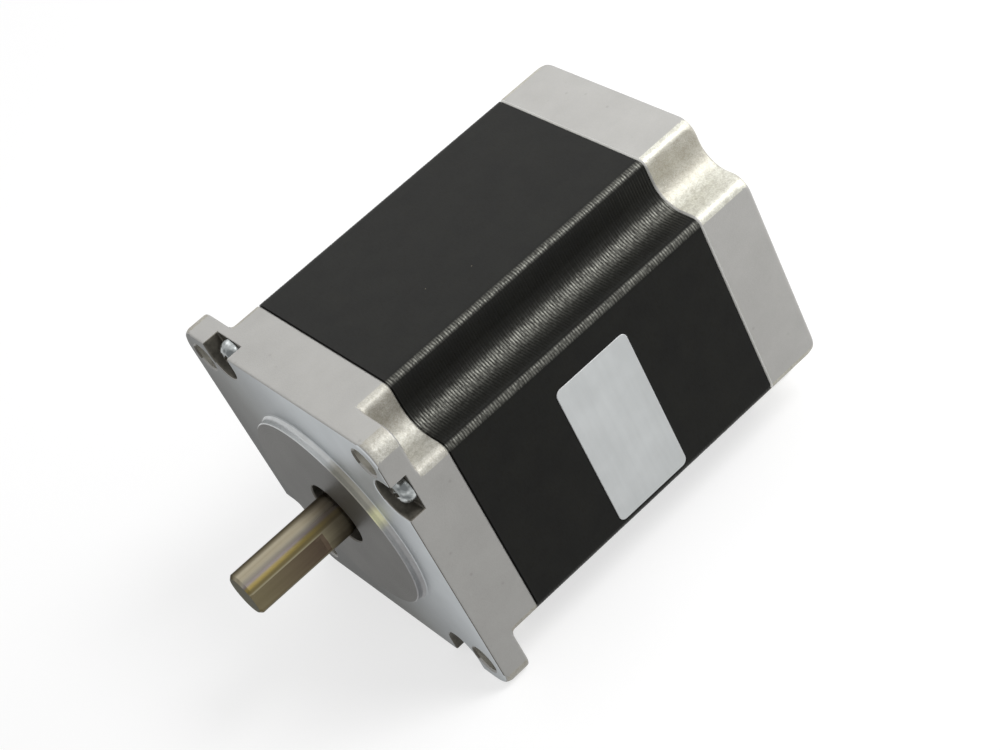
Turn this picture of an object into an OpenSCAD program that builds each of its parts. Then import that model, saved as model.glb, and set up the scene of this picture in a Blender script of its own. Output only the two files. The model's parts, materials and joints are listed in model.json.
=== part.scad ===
// Two phase hybrid stepper motor with a square flange, a pilot and a flatted shaft.
// The shaft axis is the Y axis and its free end points to -Y. Y is zero on the mounting face.
// Sections across the axis are drawn in X and Z as seen from the front.

/* [Frame] */
// Width of the square frame between opposite side faces
frame_w = 56.4; // [55:0.1:60]
// Depth of the corner notches below the side faces
notch_depth = 8.8; // [8.2:0.1:9.4]
// Fillet radius in the corner notches
notch_r = 4.2; // [3:0.1:5]
// Rounding of the edges beside the corner notches
edge_r = 1.5; // [0.8:0.1:2]
// Length of the front cover from the mounting face to the stator
front_cover_l = 10.8; // [10.4:0.1:13]
// Length of the stack of laminations
stator_l = 54.4; // [40:0.1:60]
// Length of the rear cover
rear_cover_l = 10.8; // [10.6:0.1:13]

/* [Flange] */
// Thickness of the flange at its ears
flange_t = 5; // [4.6:0.1:6.5]
// Radius of the flange corners
flange_corner_r = 2.8; // [1.5:0.1:4]
// Distance from the side faces to the axes of the mounting holes
hole_inset = 4.63; // [4.5:0.01:4.9]
// Diameter of the mounting holes
hole_d = 5.2; // [4.5:0.1:5.6]
// Chamfer at the mouth of each mounting hole
hole_chamfer = 0.5; // [0.2:0.1:0.6]
// Diameter of the pilot
pilot_d = 38.1; // [36:0.1:39]
// Height of the pilot above the mounting face
pilot_h = 1.6; // [1:0.1:2.5]
// Chamfer on the rim of the pilot
pilot_chamfer = 0.3; // [0.1:0.1:0.5]
// Diameter of the hole that the shaft passes through
shaft_hole_d = 12; // [11.6:0.1:14]

/* [Shaft] */
// Diameter of the output shaft
shaft_d = 8; // [6.5:0.1:8.4]
// Reach of the shaft beyond the mounting face
shaft_reach = 21.5; // [19:0.1:30]
// Diameter of the shaft inside the rotor
core_d = 10; // [9.2:0.1:11.5]
// Length of the flat from the tip of the shaft
flat_l = 15; // [8:0.1:17]
// Depth of the flat
flat_depth = 0.5; // [0.3:0.1:1]
// Length of the relief groove that parts the shaft's free end from its bearing seat
relief_l = 1; // [0.8:0.1:1.2]
// Depth of the relief groove
relief_depth = 0.2; // [0.1:0.05:0.3]
// Chamfer at the ends of the shaft
shaft_chamfer = 0.5; // [0.2:0.1:0.8]

/* [Assembly screws] */
// Diameter of the screws
screw_d = 3; // [2.6:0.1:3.2]
// Distance of the screw tips inside the rear face
screw_tip_inset = 2.8; // [0.8:0.1:6]
// Diameter of the screw heads
head_d = 5.3; // [4.8:0.1:5.8]
// Height of the screw heads
head_h = 2.4; // [1.8:0.1:2.6]
// Rounding on the rim of the screw heads
head_r = 1.1; // [0.5:0.1:1.4]
// Distance from the side face and from the notch wall to a screw's axis
screw_inset = 2.8; // [2.6:0.1:3]
// Radius of the round end of a screw pocket
pocket_r = 3.7; // [3.4:0.1:3.9]
// Depth of the screw pockets
pocket_depth = 3.2; // [2.8:0.1:3.6]
// Distance of a pocket's round end from its screw, towards the side face
pocket_shift = 0.5; // [0:0.1:0.7]

/* [Bearings] */
// Outer diameter of the ball bearings
bearing_d = 22; // [21:0.1:23]
// Width of the ball bearings
bearing_w = 7; // [6.6:0.1:7.4]
// Diameter of the balls
ball_d = 3.969; // [3.5:0.001:4]
// Number of balls in each bearing
ball_count = 7; // [6:1:7]
// Thickness of the bearing shields
shield_t = 0.4; // [0.3:0.1:0.5]
// Depth of the recess that holds a shield
shield_recess = 0.9; // [0.6:0.1:0.9]
// Height of the step from a shield's rim to the ring's shoulder
shield_step = 0.5; // [0.3:0.1:0.7]
// Height of the inner and outer shoulders over the ball circle
shoulder_h = 1.4; // [1.2:0.1:1.6]
// Radial thickness of the ball cage
cage_t = 1.8; // [1.4:0.1:2]
// Thickness of the cage beside a ball
cage_web = 0.4; // [0.3:0.1:0.5]
// Thickness of the wall around the bearing seats
hub_wall = 2; // [1.6:0.1:2.6]
// Distance from the mounting face to the front bearing
front_lip = 1.2; // [0.8:0.1:1.6]
// Height of the wave washer behind the rear bearing
washer_h = 0.8; // [0.6:0.1:1]
// Thickness of the spring strip of the wave washer
washer_t = 0.3; // [0.2:0.1:0.4]
// Radial width of the wave washer
washer_w = 1.3; // [1:0.1:1.6]
// Thickness of the rear wall behind the wave washer
rear_wall = 2; // [1.5:0.1:3]

/* [Magnetic circuit] */
// Thickness of the stack between the winding slots and the side faces
yoke_t = 3.4; // [3.2:0.1:3.8]
// Distance from the bore to the bottoms of the winding slots
slot_depth = 7.8; // [7.4:0.1:8.4]
// Air gap between rotor and stator teeth
air_gap = 0.1; // [0.06:0.01:0.15]
// Number of teeth on each rotor cup
rotor_teeth = 50; // [50:2:60]
// Depth of the stator teeth
stator_tooth_h = 0.9; // [0.6:0.1:1]
// Depth of the rotor teeth
rotor_tooth_h = 0.8; // [0.6:0.1:1]
// Thickness of the pole shoes at their edges, behind the teeth
shoe_edge_t = 0.4; // [0.3:0.1:0.6]
// Thickness of the pole shoes at the neck, behind the teeth
shoe_t = 1.3; // [1:0.1:1.5]
// Smallest width of the slot mouths
slot_mouth = 1; // [0.8:0.1:1.4]
// Share of the pole pitch behind the shoes that a neck takes
neck_share = 0.346; // [0.3:0.002:0.37]
// Distance of the rotor's ends inside the stack's ends
rotor_inset = 0.6; // [0.4:0.1:2]
// Thickness of each rotor magnet
magnet_t = 3; // [2:0.1:4]
// Distance of the magnets' rims below the roots of the rotor teeth
magnet_inset = 2.6; // [1:0.1:5]
// Thickness of the spacer between the rotor sections
spacer_t = 1.2; // [0.8:0.1:3]
// Distance of the spacer's rim below the roots of the rotor teeth
spacer_inset = 4.1; // [1:0.1:7]

/* [Windings] */
// Thickness of the insulators on the ends of the stack
insulator_t = 1; // [0.8:0.1:1.1]
// Thickness of the slot liners
liner_t = 0.5; // [0.3:0.1:0.6]
// Lap of the insulators over the yoke
insulator_lap = 0.4; // [0.2:0.1:0.6]
// Distance between neighbouring windings
coil_apart = 1.6; // [1.4:0.1:3]
// Thickness of the connection board
board_t = 1; // [0.8:0.1:1.2]

/* [Leads] */
// Width of the lead grommet
grommet_w = 11; // [9.5:0.1:14]
// Height of the lead grommet from the stator
grommet_h = 5.5; // [4.5:0.1:5.8]
// Height of the rib around the grommet
grommet_rib = 0.7; // [0.4:0.1:0.8]
// Thickness of the rib around the grommet
grommet_rib_t = 0.8; // [0.6:0.1:1]
// Diameter of the lead holes
lead_d = 1.6; // [1.2:0.1:1.8]
// Number of lead holes
lead_count = 4; // [4:1:5]

/* [Label] */
// Length of the label along the motor
label_l = 15.2; // [10:0.1:25]
// Thickness of the label
label_t = 0.15; // [0.1:0.05:0.3]
// Radius of the label corners
label_r = 1.2; // [0.5:0.1:2]
// Distance from the front of the stack to the label
label_front = 19.4; // [4:0.1:26]
// Distance from the lower edge rounding to the label
label_below = 0.4; // [0.1:0.1:2]
// Distance from the label to the upper edge rounding
label_above = 5.3; // [4:0.1:18]

/* [Clearances] */
// Radial gap around the screws
screw_gap = 0.1; // [0.05:0.01:0.15]
// Gap of bearings in their seats and on the shaft, and of rotor parts on the shaft
seat_gap = 0.01; // [0.005:0.005:0.02]
// Gap between balls and raceways
race_gap = 0.05; // [0.02:0.01:0.08]
// Gap between balls and cage
pocket_gap = 0.08; // [0.05:0.01:0.12]
// Gap between a shield and the inner ring
shield_gap = 0.25; // [0.15:0.05:0.3]
// Gap between slot walls and slot liners
slot_gap = 0.05; // [0.02:0.01:0.1]
// Gap between windings and insulators
coil_gap = 0.1; // [0.05:0.01:0.15]
// Gap between moulded parts and the covers around them
cover_gap = 0.3; // [0.2:0.05:0.4]
// Gap around the grommet
grommet_gap = 0.05; // [0.02:0.01:0.1]

/* [Hidden] */
// Stator poles, each with its own winding
pole_count = 8;
$fn = 96;

// Cuts run past the faces that they open by this much
overrun = 1;

// Lengths worked out from angles are rounded to this step
length_step = 0.01;
function rounded(x) = length_step * round(x / length_step);

// Places along the axis
stator_y0 = front_cover_l;
stator_y1 = stator_y0 + stator_l;
stator_mid = (stator_y0 + stator_y1) / 2;
rear_y = stator_y1 + rear_cover_l;
front_bearing_y = front_lip;
seat_end_y = rear_y - rear_wall;
rear_bearing_y = seat_end_y - washer_h - bearing_w;

// Notches, mounting holes and screws
notch_wall = frame_w / 2 - notch_depth;
hole_spacing = frame_w - 2 * hole_inset;
screw_x = frame_w / 2 - screw_inset;
screw_z = notch_wall - screw_inset;
screw_l = rear_y - screw_tip_inset - pocket_depth;

// Poles, teeth and slots
pole_a = 360 / pole_count;
tooth_share = 0.5;
rotor_tooth_share = 0.42;
slot_r = frame_w / 2 - yoke_t;
bore_r = slot_r - slot_depth;
tooth_pitch = 360 / rotor_teeth;
tooth_a = tooth_pitch * tooth_share;
mouth_a = 2 * asin(slot_mouth / 2 / bore_r);
pole_teeth = floor((pole_a - mouth_a - tooth_a) / tooth_pitch) + 1;
pole_span = (pole_teeth - 1) * tooth_pitch + tooth_a;
tooth_root_r = bore_r + stator_tooth_h;
shoe_edge_r = tooth_root_r + shoe_edge_t;
shoe_r = tooth_root_r + shoe_t;
neck_w = rounded(neck_share * 2 * shoe_r * tan(pole_a / 2));
arc_steps = 8;

// Rotor
rotor_r = bore_r - air_gap;
rotor_root_r = rotor_r - rotor_tooth_h;
rotor_y0 = stator_y0 + rotor_inset;
rotor_l = stator_l - 2 * rotor_inset;
cup_l = (rotor_l - 2 * magnet_t - spacer_t) / 4;
section_l = 2 * cup_l + magnet_t;
rotor_bore_r = core_d / 2 + seat_gap;

// Bearings
bearing_r = bearing_d / 2;
pitch_r = (shaft_d + bearing_d) / 4;
ball_r = ball_d / 2;
race_r = ball_r + race_gap;
inner_shoulder_r = pitch_r - shoulder_h;
outer_shoulder_r = pitch_r + shoulder_h;
cage_l = 2 * (ball_r + pocket_gap + cage_web);
shield_rim_r = outer_shoulder_r + shield_step;
seat_r = bearing_r + seat_gap;
hub_r = bearing_r + hub_wall;
// The hubs reach past the bearings, and the front lip stands back from the inner ring
hub_overlap = 0.4;
lip_relief = 0.4;
lip_relief_r = outer_shoulder_r - lip_relief;

// Windings and the space for them in the covers
liner_inset = slot_gap + liner_t;
insulator_r = slot_r + insulator_lap;
cavity_r = insulator_r + cover_gap;
coil_in_r = shoe_r + liner_inset + coil_gap;
coil_out_r = slot_r - liner_inset - coil_gap;
coil_hole_w = neck_w + 2 * (liner_inset + coil_gap);
coil_hole_l = stator_l + 2 * (insulator_t + coil_gap);
coil_side = rounded(coil_in_r * tan(pole_a / 2) - (coil_apart + coil_hole_w) / 2);
end_wall_l = insulator_t + 2 * coil_gap + coil_side;
coil_corner_share = 0.75;
plate_lap = coil_gap / 2;
front_cavity_y = stator_y0 - end_wall_l - cover_gap;
rear_cavity_y = stator_y1 + end_wall_l + board_t + cover_gap;

// Angle at which the side of a pole neck, widened by an inset, crosses a radius
function neck_a(r, inset) = asin((neck_w / 2 + inset) / r);

function polar(r, a) = [r * cos(a), r * sin(a)];

function arc_pts(r, a0, a1) = [for (i = [0:arc_steps]) polar(r, a0 + (a1 - a0) * i / arc_steps)];

// Teeth of one pole, centred on the angle c
function pole_pts(c) = [
    for (i = [0:pole_teeth - 1])
        let (
            a = c - pole_span / 2 + i * tooth_pitch,
            tip = [polar(bore_r, a), polar(bore_r, a + tooth_a)],
            root = [polar(tooth_root_r, a + tooth_a), polar(tooth_root_r, a + tooth_pitch)]
        )
            each i < pole_teeth - 1 ? concat(tip, root) : tip
];

// Winding slot between the pole at the angle c and the next pole
function slot_side_pts(c) = concat(
    [polar(shoe_edge_r, c + pole_span / 2), polar(shoe_r, c + neck_a(shoe_r, 0))],
    arc_pts(slot_r, c + neck_a(slot_r, 0), c + pole_a - neck_a(slot_r, 0)),
    [polar(shoe_r, c + pole_a - neck_a(shoe_r, 0)), polar(shoe_edge_r, c + pole_a - pole_span / 2)]
);

function stator_hole_pts() = [
    for (k = [0:pole_count - 1])
        each concat(pole_pts(k * pole_a), slot_side_pts(k * pole_a))
];

// Slot behind the pole shoes, drawn in by an inset on all sides
function slot_pts(inset) = let (
    r0 = shoe_r + inset,
    r1 = slot_r - inset
) concat(
    arc_pts(r1, neck_a(r1, inset), pole_a - neck_a(r1, inset)),
    arc_pts(r0, pole_a - neck_a(r0, inset), neck_a(r0, inset))
);

function sector_pts(r0, r1, half_a) = concat(arc_pts(r0, -half_a, half_a), arc_pts(r1, half_a, -half_a));

function rotor_pts(turn) = [
    for (i = [0:rotor_teeth - 1])
        let (
            a = turn + i * tooth_pitch,
            tip = tooth_pitch * rotor_tooth_share / 2
        )
            each [
                polar(rotor_r, a - tip),
                polar(rotor_r, a + tip),
                polar(rotor_root_r, a + tip),
                polar(rotor_root_r, a + tooth_pitch - tip)
            ]
];

// Extrudes a section in X and Z from y0 to y1
module axial(y0, y1) {
    translate([0, y1, 0]) rotate([90, 0, 0]) linear_extrude(y1 - y0) children();
}

// Turns a profile of radius and Y about the shaft axis
module turned() {
    rotate([-90, 0, 0]) rotate_extrude() children();
}

module four_times() {
    for (k = [0:3]) rotate(90 * k) children();
}

module at_screws() {
    four_times() translate([screw_x, screw_z]) children();
}

module rounded_rect(w, h, r) {
    square([w - 2 * r, h], center = true);
    square([w, h - 2 * r], center = true);
    for (sx = [-1, 1], sz = [-1, 1]) {
        translate([sx * (w / 2 - r), sz * (h / 2 - r)]) circle(r);
    }
}

// Outline of stator and covers: a square with a filleted notch in each corner
module notched_outline() {
    rounded_rect(frame_w, 2 * notch_wall, edge_r);
    rounded_rect(2 * notch_wall, frame_w, edge_r);
    four_times() difference() {
        square(notch_wall + notch_r);
        translate([notch_wall + notch_r, notch_wall + notch_r]) circle(notch_r);
    }
}

// Pocket for a screw head, open to the side face
module screw_pocket() {
    four_times() translate([screw_x + pocket_shift, screw_z]) {
        circle(pocket_r);
        translate([0, -pocket_r]) square([screw_inset + overrun, 2 * pocket_r]);
    }
}

module mounting_hole() {
    cone_r = hole_d / 2 + hole_chamfer;
    turned() polygon([
        [0, -overrun],
        [cone_r + overrun, -overrun],
        [hole_d / 2, hole_chamfer],
        [hole_d / 2, flange_t + overrun],
        [0, flange_t + overrun]
    ]);
}

// Space inside the front cover for shaft, bearing and windings
module front_cover_space() {
    seat_end = front_bearing_y + bearing_w + hub_overlap;
    turned() polygon([
        [0, -pilot_h - overrun],
        [shaft_hole_d / 2, -pilot_h - overrun],
        [shaft_hole_d / 2, front_lip - lip_relief],
        [lip_relief_r, front_lip - lip_relief],
        [lip_relief_r, front_lip],
        [seat_r, front_lip],
        [seat_r, seat_end],
        [hub_r, seat_end],
        [hub_r, front_cavity_y],
        [cavity_r, front_cavity_y],
        [cavity_r, stator_y0 + overrun],
        [0, stator_y0 + overrun]
    ]);
}

module front_cover() {
    color("silver") difference() {
        union() {
            axial(0, flange_t) rounded_rect(frame_w, frame_w, flange_corner_r);
            axial(0, stator_y0) notched_outline();
            turned() polygon([
                [0, -pilot_h],
                [pilot_d / 2 - pilot_chamfer, -pilot_h],
                [pilot_d / 2, -pilot_h + pilot_chamfer],
                [pilot_d / 2, flange_t / 2],
                [0, flange_t / 2]
            ]);
        }
        front_cover_space();
        axial(-overrun, pocket_depth) screw_pocket();
        axial(-overrun, stator_y0 + overrun) at_screws() circle(screw_d / 2 + screw_gap);
        for (sx = [-1, 1], sz = [-1, 1]) {
            translate([sx * hole_spacing / 2, 0, sz * hole_spacing / 2]) mounting_hole();
        }
    }
}

module stator_core() {
    color([0.16, 0.16, 0.16]) axial(stator_y0, stator_y1) difference() {
        notched_outline();
        polygon(stator_hole_pts());
        at_screws() circle(screw_d / 2 + screw_gap);
    }
}

// Space inside the rear cover for windings, board, bearing and wave washer
module rear_cover_space() {
    seat_start = rear_bearing_y - hub_overlap;
    turned() polygon([
        [0, stator_y1 - overrun],
        [cavity_r, stator_y1 - overrun],
        [cavity_r, rear_cavity_y],
        [hub_r, rear_cavity_y],
        [hub_r, seat_start],
        [seat_r, seat_start],
        [seat_r, seat_end_y],
        [0, seat_end_y]
    ]);
}

// Block with a rib around it. A grow widens it on the three sides that the cover holds.
module grommet_block(x_in, grow) {
    x_out = frame_w / 2;
    rib_x = (x_out + cavity_r) / 2;
    past = grow > 0 ? overrun : 0;
    h = grommet_h + grow;
    w = grommet_w + 2 * grow;
    translate([-x_out - past, stator_y1 - past, -w / 2]) cube([x_out + past - x_in, h + past, w]);
    translate([-rib_x - grommet_rib_t / 2 - grow, stator_y1 - past, -w / 2 - grommet_rib])
        cube([grommet_rib_t + 2 * grow, h + grommet_rib + past, w + 2 * grommet_rib]);
}

module rear_cover() {
    color("silver") difference() {
        axial(stator_y1, rear_y) notched_outline();
        rear_cover_space();
        grommet_block(cavity_r - overrun, grommet_gap);
        axial(stator_y1 - overrun, rear_y + overrun) at_screws() circle(screw_d / 2 + seat_gap);
    }
}

module lead_grommet() {
    spread = grommet_w - 2 * lead_d;
    color([0.12, 0.12, 0.12]) difference() {
        grommet_block(cavity_r, 0);
        for (k = [0:lead_count - 1]) {
            z = (k / (lead_count - 1) - 1 / 2) * spread;
            translate([-frame_w / 2 - overrun, stator_y1 + grommet_h / 2, z])
                rotate([0, 90, 0]) cylinder(d = lead_d, h = frame_w / 2 - cavity_r + 2 * overrun);
        }
    }
}

module screw() {
    turned() {
        square([screw_d / 2, screw_l]);
        translate([0, -head_h]) square([head_d / 2 - head_r, head_h]);
        translate([0, head_r - head_h]) square([head_d / 2, head_h - head_r]);
        translate([head_d / 2 - head_r, head_r - head_h]) intersection() {
            circle(head_r);
            translate([0, -head_r]) square(head_r);
        }
    }
}

module assembly_screws() {
    color("gainsboro") for (k = [0:3]) {
        rotate([0, -90 * k, 0]) translate([screw_x, pocket_depth, screw_z]) screw();
    }
}

module label() {
    z0 = label_below + edge_r - notch_wall;
    z1 = notch_wall - edge_r - label_above;
    label_h = z1 - z0;
    color("lightgray") translate([frame_w / 2, stator_y0 + label_front + label_l / 2, (z0 + z1) / 2])
        rotate([90, 0, 90]) linear_extrude(label_t) rounded_rect(label_l, label_h, label_r);
}

module shaft() {
    end_y = rear_bearing_y + bearing_w;
    color([0.55, 0.5, 0.45]) difference() {
        turned() polygon([
            [0, -shaft_reach],
            [shaft_d / 2 - shaft_chamfer, -shaft_reach],
            [shaft_d / 2, shaft_chamfer - shaft_reach],
            [shaft_d / 2, -pilot_h],
            [shaft_d / 2 - relief_depth, -pilot_h],
            [shaft_d / 2 - relief_depth, relief_l - pilot_h],
            [shaft_d / 2, relief_l - pilot_h],
            [shaft_d / 2, front_bearing_y + bearing_w],
            [core_d / 2, front_bearing_y + bearing_w],
            [core_d / 2, rear_bearing_y],
            [shaft_d / 2, rear_bearing_y],
            [shaft_d / 2, end_y - shaft_chamfer],
            [shaft_d / 2 - shaft_chamfer, end_y],
            [0, end_y]
        ]);
        translate([shaft_d / 2 - flat_depth, -shaft_reach - overrun, -shaft_d])
            cube([shaft_d, flat_l + overrun, 2 * shaft_d]);
    }
}

// Cups 1 and 2 hold the front magnet between them, cups 3 and 4 the rear one.
// The two cups of a pair are half a tooth pitch apart.
module rotor_cup(k) {
    pair = floor((k - 1) / 2);
    side = (k - 1) % 2;
    y0 = rotor_y0 + pair * (section_l + spacer_t) + side * (cup_l + magnet_t);
    turn = (pair + side) % 2 * tooth_pitch / 2;
    color([0.45, 0.45, 0.48]) axial(y0, y0 + cup_l) difference() {
        polygon(rotor_pts(turn));
        circle(rotor_bore_r);
    }
}

// Ring on the shaft, its rim below the roots of the rotor teeth by an inset
module rotor_ring(y0, t, inset) {
    turned() translate([rotor_bore_r, y0]) square([rotor_root_r - inset - rotor_bore_r, t]);
}

module front_magnet() {
    color([0.3, 0.3, 0.33]) rotor_ring(rotor_y0 + cup_l, magnet_t, magnet_inset);
}

module rear_magnet() {
    color([0.3, 0.3, 0.33]) rotor_ring(rotor_y0 + section_l + spacer_t + cup_l, magnet_t, magnet_inset);
}

module rotor_spacer() {
    color("gold") rotor_ring(rotor_y0 + section_l, spacer_t, spacer_inset);
}

// Bearing pieces, each from its front face at y0
module outer_ring(y0) {
    color("lightsteelblue") turned() translate([0, y0]) difference() {
        translate([outer_shoulder_r, 0]) square([bearing_r - outer_shoulder_r, bearing_w]);
        translate([pitch_r, bearing_w / 2]) circle(race_r);
        square([shield_rim_r, shield_recess]);
        translate([0, bearing_w - shield_recess]) square([shield_rim_r, shield_recess]);
    }
}

module inner_ring(y0) {
    r0 = shaft_d / 2 + seat_gap;
    color("lightsteelblue") turned() translate([0, y0]) difference() {
        translate([r0, 0]) square([inner_shoulder_r - r0, bearing_w]);
        translate([pitch_r, bearing_w / 2]) circle(race_r);
    }
}

module at_balls(y0) {
    for (k = [0:ball_count - 1]) {
        rotate([0, k * 360 / ball_count, 0]) translate([pitch_r, y0 + bearing_w / 2, 0]) children();
    }
}

module balls(y0) {
    color("white") at_balls(y0) sphere(ball_r);
}

// Ring with a round pocket for each ball, drilled towards the shaft axis
module cage(y0) {
    color("peru") difference() {
        turned() translate([pitch_r - cage_t / 2, y0 + (bearing_w - cage_l) / 2]) square([cage_t, cage_l]);
        at_balls(y0) rotate([0, 90, 0]) cylinder(r = ball_r + pocket_gap, h = 2 * cage_t, center = true);
    }
}

module shields(y0) {
    r0 = inner_shoulder_r + shield_gap;
    w = shield_rim_r - seat_gap - r0;
    color("slategray") turned() {
        translate([r0, y0 + shield_recess - shield_t]) square([w, shield_t]);
        translate([r0, y0 + bearing_w - shield_recess]) square([w, shield_t]);
    }
}

// Three waves of spring strip between the rear bearing and the end of its seat
module wave_washer() {
    steps = 48;
    waves = 3;
    r1 = bearing_r - seat_gap - race_gap;
    r0 = r1 - washer_w;
    rise = washer_h - washer_t - 2 * seat_gap;
    low = rear_bearing_y + bearing_w + seat_gap;
    ring = [for (i = [0:steps - 1]) let (a = i * 360 / steps) [a, low + rise * (1 + cos(waves * a)) / 2]];
    pts = [
        for (q = ring)
            each [
                [r0 * cos(q[0]), q[1], r0 * sin(q[0])],
                [r1 * cos(q[0]), q[1], r1 * sin(q[0])],
                [r1 * cos(q[0]), q[1] + washer_t, r1 * sin(q[0])],
                [r0 * cos(q[0]), q[1] + washer_t, r0 * sin(q[0])]
            ]
    ];
    faces = [
        for (i = [0:steps - 1], c = [0:3])
            let (
                a = 4 * i,
                b = 4 * ((i + 1) % steps),
                d = (c + 1) % 4
            )
                each [[a + c, b + c, b + d], [a + c, b + d, a + d]]
    ];
    color("darkgray") polyhedron(pts, faces);
}

// Section of the liner of one winding slot, open at the slot's mouth
module slot_liner() {
    difference() {
        polygon(slot_pts(slot_gap));
        polygon(slot_pts(liner_inset));
        rotate(pole_a / 2) translate([0, -slot_mouth]) square([(shoe_r + slot_r) / 2, 2 * slot_mouth]);
    }
}

// Insulator on one end of the stack, from the end face at y = 0 outwards along +Y.
// Its end plate reaches a little past the slot liners below it.
module insulator() {
    plate_inset = liner_inset + plate_lap;
    neck_half = neck_w / 2 + plate_inset;
    half_a = pole_span / 2;
    axial(0, insulator_t) {
        difference() {
            circle(insulator_r);
            circle(slot_r - plate_inset);
        }
        for (k = [0:pole_count - 1]) rotate(k * pole_a) {
            translate([shoe_edge_r, -neck_half]) square([slot_r - shoe_edge_r, 2 * neck_half]);
            polygon(sector_pts(tooth_root_r, shoe_r + plate_inset, half_a));
        }
    }
    axial(insulator_t / 2, end_wall_l) {
        difference() {
            circle(insulator_r);
            circle(slot_r - liner_inset);
        }
        for (k = [0:pole_count - 1]) rotate(k * pole_a) polygon(sector_pts(tooth_root_r, shoe_r, half_a));
    }
    axial(coil_gap - stator_l / 2, insulator_t / 2) {
        for (k = [0:pole_count - 1]) rotate(k * pole_a) slot_liner();
    }
}

module front_insulator() {
    color("beige") translate([0, stator_y0, 0]) mirror([0, 1, 0]) insulator();
}

module rear_insulator() {
    color("beige") translate([0, stator_y1, 0]) insulator();
}

module connection_board() {
    y0 = stator_y1 + end_wall_l;
    r0 = hub_r + cover_gap;
    color("seagreen") turned() translate([r0, y0]) square([insulator_r - r0, board_t]);
}

// Winding around the neck of pole k, its outside bent to the slot bottom
module coil(k) {
    w = coil_hole_w + 2 * coil_side;
    l = coil_hole_l + 2 * coil_side;
    color([0.72, 0.4, 0.2]) intersection() {
        rotate([0, -(k - 1) * pole_a, 0]) translate([coil_in_r, stator_mid, 0])
            rotate([90, 0, 90]) linear_extrude(coil_out_r - coil_in_r) difference() {
                rounded_rect(l, w, coil_side * coil_corner_share);
                square([coil_hole_l, coil_hole_w], center = true);
            }
        turned() translate([0, stator_mid - l]) square([coil_out_r, 2 * l]);
    }
}

front_cover();
stator_core();
rear_cover();
assembly_screws();
label();
lead_grommet();
shaft();
for (k = [1:4]) rotor_cup(k);
front_magnet();
rear_magnet();
rotor_spacer();
outer_ring(front_bearing_y);  // front_outer_ring
inner_ring(front_bearing_y);  // front_inner_ring
balls(front_bearing_y);  // front_balls
cage(front_bearing_y);  // front_cage
shields(front_bearing_y);  // front_shields
outer_ring(rear_bearing_y);  // rear_outer_ring
inner_ring(rear_bearing_y);  // rear_inner_ring
balls(rear_bearing_y);  // rear_balls
cage(rear_bearing_y);  // rear_cage
shields(rear_bearing_y);  // rear_shields
wave_washer();
front_insulator();
rear_insulator();
connection_board();
for (k = [1:pole_count]) coil(k);
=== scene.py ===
"""Looks of the stepper motor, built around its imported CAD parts.

Sizes are in millimetres until a piece is placed. The shaft axis is Y, its free end points to -Y,
and sections across the axis are lists of (x, z) as seen from the front.
"""
import json
import math
import random

import bmesh
import bpy
from mathutils import Matrix, Vector
from mathutils.geometry import tessellate_polygon


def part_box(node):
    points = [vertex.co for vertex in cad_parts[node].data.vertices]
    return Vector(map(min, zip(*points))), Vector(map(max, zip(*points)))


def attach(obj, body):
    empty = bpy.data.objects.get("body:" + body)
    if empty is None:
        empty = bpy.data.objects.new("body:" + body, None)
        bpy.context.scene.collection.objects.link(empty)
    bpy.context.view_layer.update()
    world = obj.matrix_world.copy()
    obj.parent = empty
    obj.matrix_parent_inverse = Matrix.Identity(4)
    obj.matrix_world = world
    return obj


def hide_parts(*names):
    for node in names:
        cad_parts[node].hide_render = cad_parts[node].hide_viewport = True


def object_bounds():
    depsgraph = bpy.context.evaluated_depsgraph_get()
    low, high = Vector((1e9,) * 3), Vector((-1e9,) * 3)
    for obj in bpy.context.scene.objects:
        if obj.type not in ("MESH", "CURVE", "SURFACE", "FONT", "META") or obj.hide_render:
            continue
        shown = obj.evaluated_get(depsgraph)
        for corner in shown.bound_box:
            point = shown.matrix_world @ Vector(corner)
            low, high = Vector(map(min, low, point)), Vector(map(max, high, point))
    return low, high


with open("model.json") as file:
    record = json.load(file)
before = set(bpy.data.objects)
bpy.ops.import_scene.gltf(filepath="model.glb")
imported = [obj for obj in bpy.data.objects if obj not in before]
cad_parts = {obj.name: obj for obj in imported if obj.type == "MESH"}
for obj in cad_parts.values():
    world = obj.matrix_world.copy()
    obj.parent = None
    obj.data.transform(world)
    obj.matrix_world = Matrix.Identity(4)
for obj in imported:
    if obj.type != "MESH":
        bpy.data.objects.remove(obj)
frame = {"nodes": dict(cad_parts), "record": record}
CAD_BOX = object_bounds()
MM = 0.001
RNG = random.Random(57)


def box_end(node, end, axis):
    """Where the box of a CAD node ends along an axis, in mm. end is 0 for the low end and 1 for the high."""
    return round(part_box(node)[end][axis] / MM, 2)


# Housing
HALF = box_end("front_cover", 1, 0)
NOTCH_WALL = 19.4
NOTCH_R = 4.2
EDGE_R = 1.5
FRONT_L = box_end("front_cover", 1, 1)
STATOR_Y0 = FRONT_L
STATOR_Y1 = box_end("rear_cover", 0, 1)
REAR_Y = box_end("rear_cover", 1, 1)

# Flange and pilot
FLANGE_T = 5.0
FLANGE_CORNER_R = 2.8
HOLE_AT = 23.57
HOLE_R = 2.6
HOLE_CHAMFER = 0.3
PILOT_R = 19.05
PILOT_H = -box_end("front_cover", 0, 1)
SHAFT_HOLE_R = 6.0

# Screws and their pockets
POCKET_R = 3.7
POCKET_DEPTH = 3.2
POCKET_SHIFT = 0.5
SCREW_X = 25.4
SCREW_Z = 16.6
SCREW_R = 1.5
SCREW_L = box_end("assembly_screws", 1, 1) - POCKET_DEPTH
SCREW_HOLE_R = 1.6
REAR_SCREW_HOLE_R = 1.51
HEAD_R = 2.65
HEAD_H = POCKET_DEPTH - box_end("assembly_screws", 0, 1)
CROSS_ARM = 1.5
CROSS_DEPTH = 1.5
THREAD_L = 9.0

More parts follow.
